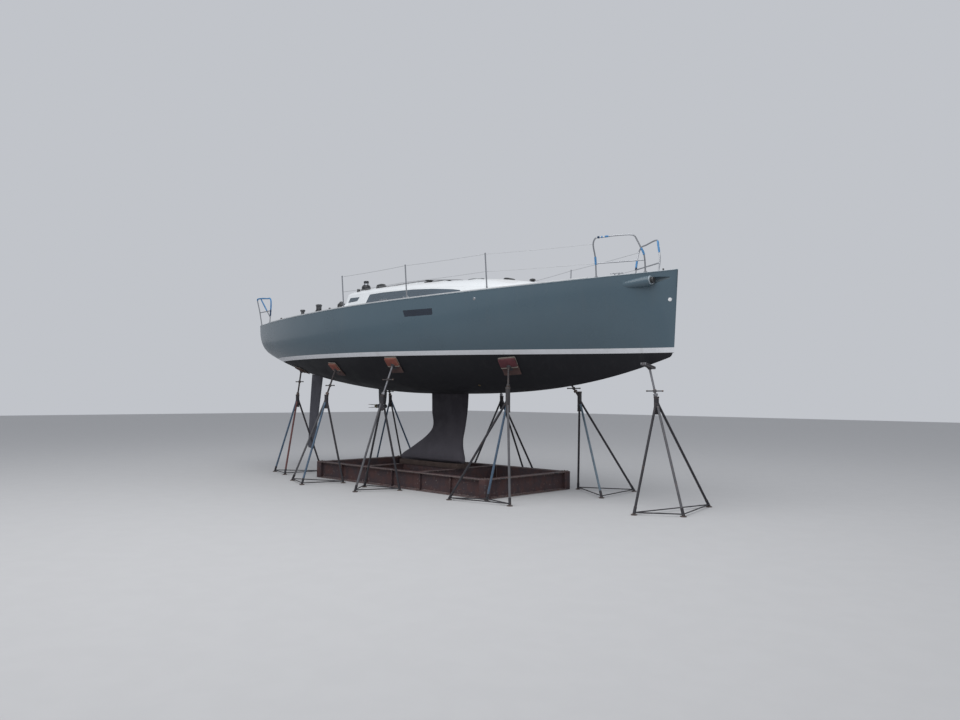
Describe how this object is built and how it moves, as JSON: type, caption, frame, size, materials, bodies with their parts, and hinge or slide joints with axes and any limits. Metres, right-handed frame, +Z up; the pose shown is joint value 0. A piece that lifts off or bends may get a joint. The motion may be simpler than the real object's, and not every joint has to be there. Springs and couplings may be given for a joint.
{
  "type": "sailing yacht",
  "caption": "Fin keel sailing yacht laid up ashore without its mast, keel on a steel cradle, hull held by screw stands, with bowsprit, hatches, winches, rudder and folding propeller.",
  "frame": {"origin": "on the ground, midway between the ends of the whole object", "axes": "+X to the bow, +Y to port, +Z up"},
  "size_m": [11.3133, 4.6, 4.4337],
  "materials": {
    "topside_paint": "gloss",
    "keel_paint": "matte",
    "deck_gelcoat": "satin",
    "tinted_glass": "gloss",
    "tinted_acrylic": "gloss",
    "stainless_steel": "polished",
    "bronze": "worn",
    "carbon": "satin",
    "black_fittings": "matte",
    "rusty_steel": "worn and rusty",
    "timber": "weathered",
    "pad_plywood": "painted and worn",
    "stand_blue": "worn",
    "stand_grey": "worn",
    "drive_grey": "satin",
    "engine_iron": "satin"
  },
  "bodies": {
    "yacht": {"clutches_port": "black_fittings", "clutches_starboard": "black_fittings", "cradle_frame": "rusty_steel", "deck": "deck_gelcoat", "engine_block": "engine_iron", "helm_pedestal": "black_fittings", "hull": "topside_paint", "keel": "keel_paint", "keel_bed": "timber", "mast_collar": "black_fittings", "pulpit_port": "stainless_steel", "pulpit_starboard": "stainless_steel", "pushpit_port": "stainless_steel", "pushpit_starboard": "stainless_steel", "rail_port": "stainless_steel", "rail_starboard": "stainless_steel", "saildrive": "drive_grey", "stand_after_port": "stand_grey", "stand_after_starboard": "stand_grey", "stand_bow": "stand_grey", "stand_forward_port": "stand_blue", "stand_forward_starboard": "stand_blue", "stand_middle_port": "stand_grey", "stand_middle_starboard": "stand_grey", "stand_pad_after_port": "pad_plywood", "stand_pad_after_starboard": "pad_plywood", "stand_pad_forward_port": "pad_plywood", "stand_pad_forward_starboard": "pad_plywood", "stand_pad_middle_port": "pad_plywood", "stand_pad_middle_starboard": "pad_plywood", "stand_pad_quarter_port": "pad_plywood", "stand_pad_quarter_starboard": "pad_plywood", "stand_quarter_port": "stand_blue", "stand_quarter_starboard": "stand_blue", "window_aft_port": "tinted_glass", "window_aft_starboard": "tinted_glass", "window_hull_port": "tinted_glass", "window_hull_starboard": "tinted_glass", "window_long_port": "tinted_glass", "window_long_starboard": "tinted_glass"},
    "rudder": {"rudder": "keel_paint"},
    "helm": {"helm_hub": "stainless_steel"},
    "bowsprit": {"bowsprit": "carbon"},
    "sliding_hatch": {"sliding_hatch": "tinted_acrylic"},
    "washboard": {"washboard": "tinted_acrylic"},
    "saloon_hatch": {"hatch_lid_saloon": "tinted_acrylic"},
    "foredeck_hatch": {"hatch_lid_foredeck": "tinted_acrylic"},
    "anchor_lid": {"anchor_locker_lid": "deck_gelcoat"},
    "locker_lid_port": {"locker_lid_port": "deck_gelcoat"},
    "locker_lid_starboard": {"locker_lid_starboard": "deck_gelcoat"},
    "winch_primary_port": {"winch_primary_port": "stainless_steel"},
    "winch_primary_starboard": {"winch_primary_starboard": "stainless_steel"},
    "winch_roof_port": {"winch_roof_port": "stainless_steel"},
    "winch_roof_starboard": {"winch_roof_starboard": "stainless_steel"},
    "winch_aft_port": {"winch_aft_port": "stainless_steel"},
    "winch_aft_starboard": {"winch_aft_starboard": "stainless_steel"},
    "propeller": {"propeller_hub": "bronze"},
    "blade_upper": {"propeller_blade_upper": "bronze"},
    "blade_lower": {"propeller_blade_lower": "bronze"},
    "mainsheet_car": {"mainsheet_car": "black_fittings"}
  },
  "joints": [
    {"name": "rudder_turn", "type": "hinge", "parent": "yacht", "child": "rudder", "pos_m": [-4.585, 0, 2.262], "axis": [0.1514, 0, 0.9885], "range_deg": [-35, 35]},
    {"name": "helm_turn", "type": "hinge", "parent": "yacht", "child": "helm", "pos_m": [-3.875, 0, 3.83], "axis": [1, 0, 0], "range_deg": [-269.5, 269.5]},
    {"name": "bowsprit_slide", "type": "slide", "parent": "yacht", "child": "bowsprit", "axis": [0.9978, 0, 0.066], "range_m": [0, 1.4]},
    {"name": "hatch_slide", "type": "slide", "parent": "yacht", "child": "sliding_hatch", "axis": [1, 0, 0], "range_m": [0, 0.7]},
    {"name": "washboard_lift", "type": "slide", "parent": "yacht", "child": "washboard", "axis": [0, 0, 1], "range_m": [0, 0.75]},
    {"name": "saloon_hatch_hinge", "type": "hinge", "parent": "yacht", "child": "saloon_hatch", "pos_m": [0.198, 0, 4.15], "axis": [0, 1, 0], "range_deg": [0, 100]},
    {"name": "foredeck_hatch_hinge", "type": "hinge", "parent": "yacht", "child": "foredeck_hatch", "pos_m": [3.718, 0, 3.791], "axis": [0, 1, 0], "range_deg": [0, 100]},
    {"name": "locker_port_hinge", "type": "hinge", "parent": "yacht", "child": "locker_lid_port", "pos_m": [-3.11, 0.89, 3.427], "axis": [-1, 0, 0], "range_deg": [0, 80]},
    {"name": "locker_starboard_hinge", "type": "hinge", "parent": "yacht", "child": "locker_lid_starboard", "pos_m": [-3.11, -0.89, 3.427], "axis": [1, 0, 0], "range_deg": [0, 80]},
    {"name": "anchor_lid_hinge", "type": "hinge", "parent": "yacht", "child": "anchor_lid", "pos_m": [4.34, 0, 3.8055], "axis": [0, 1, 0], "range_deg": [0, 95]},
    {"name": "winch_primary_port_turn", "type": "hinge", "parent": "yacht", "child": "winch_primary_port", "pos_m": [-2.84, 1.235, 3.645], "axis": [0, 0, 1], "continuous": true},
    {"name": "winch_primary_starboard_turn", "type": "hinge", "parent": "yacht", "child": "winch_primary_starboard", "pos_m": [-2.84, -1.235, 3.645], "axis": [0, 0, 1], "continuous": true},
    {"name": "winch_roof_port_turn", "type": "hinge", "parent": "yacht", "child": "winch_roof_port", "pos_m": [-1.92, 0.64, 4.113], "axis": [0, 0, 1], "continuous": true},
    {"name": "winch_roof_starboard_turn", "type": "hinge", "parent": "yacht", "child": "winch_roof_starboard", "pos_m": [-1.92, -0.64, 4.113], "axis": [0, 0, 1], "continuous": true},
    {"name": "winch_aft_port_turn", "type": "hinge", "parent": "yacht", "child": "winch_aft_port", "pos_m": [-3.65, 1.13, 3.627], "axis": [0, 0, 1], "continuous": true},
    {"name": "winch_aft_starboard_turn", "type": "hinge", "parent": "yacht", "child": "winch_aft_starboard", "pos_m": [-3.65, -1.13, 3.627], "axis": [0, 0, 1], "continuous": true},
    {"name": "propeller_spin", "type": "hinge", "parent": "yacht", "child": "propeller", "pos_m": [-2.315, 0, 1.56], "axis": [1, 0, 0], "continuous": true},
    {"name": "blade_upper_fold", "type": "hinge", "parent": "propeller", "child": "blade_upper", "pos_m": [-2.33, 0, 1.586], "axis": [0, 1, 0], "range_deg": [0, 80]},
    {"name": "blade_lower_fold", "type": "hinge", "parent": "propeller", "child": "blade_lower", "pos_m": [-2.33, 0, 1.534], "axis": [0, -1, 0], "range_deg": [0, 80]},
    {"name": "mainsheet_traveller", "type": "slide", "parent": "yacht", "child": "mainsheet_car", "axis": [0, 1, 0], "range_m": [-0.28, 0.28]}
  ],
  "couplings": [
    {"joint": "helm_turn", "follows": "rudder_turn", "ratio": 7.7},
    {"joint": "blade_lower_fold", "follows": "blade_upper_fold", "ratio": 1}
  ]
}
